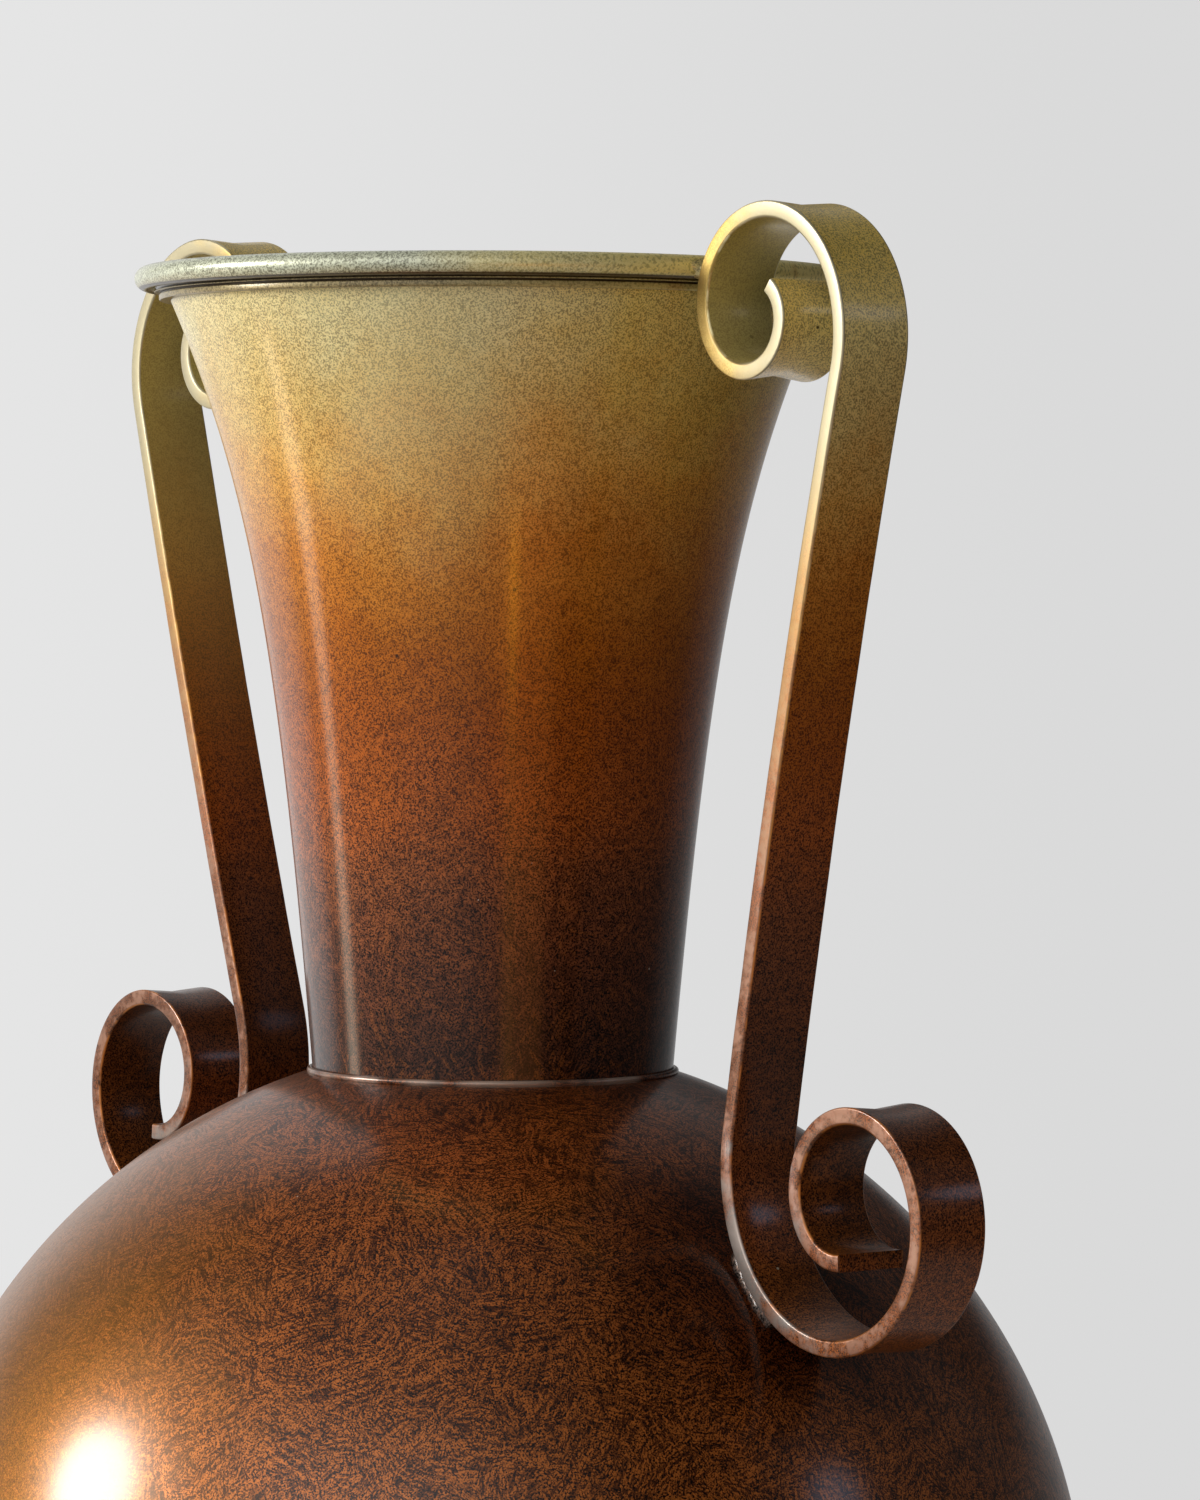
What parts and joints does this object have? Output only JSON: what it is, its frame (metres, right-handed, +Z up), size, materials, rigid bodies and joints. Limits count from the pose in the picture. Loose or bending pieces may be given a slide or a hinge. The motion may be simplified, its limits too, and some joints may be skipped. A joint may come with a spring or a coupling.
{
  "type": "bronze vase",
  "caption": "Patinated bronze vase with a globe body, a trumpet neck with a beaded rim, and scrolled strap handles from the rim to the shoulder.",
  "frame": {"origin": "on the vase's axis, on the flat underside of the base", "axes": "+Z up along the vase's axis; the handles lie in the XZ plane, the one on +X seated lower on the shoulder"},
  "size_m": [0.2541, 0.2196, 0.3676],
  "materials": {
    "body_patina": "red-brown mottled patina under satin lacquer",
    "neck_patina": "patina fading from olive gold at the rim to red-brown, satin lacquer",
    "rim_patina": "pale green-gold speckled patina, satin",
    "handle_patina": "patina fading from olive gold to dark brown, with bright worn edges",
    "solder": "dull silver-brown solder",
    "base_bronze": "dark brown patina, satin"
  },
  "bodies": {
    "root": {"globe_body": "body_patina", "foot_ring": "base_bronze", "base_plate": "base_bronze", "neck_trumpet": "neck_patina", "neck_seam": "body_patina", "rim_ring": "rim_patina", "handle_right": "handle_patina", "rim_solder_right": "solder", "shoulder_solder_right": "solder", "handle_left": "handle_patina", "rim_solder_left": "solder", "shoulder_solder_left": "solder"}
  },
  "joints": []
}
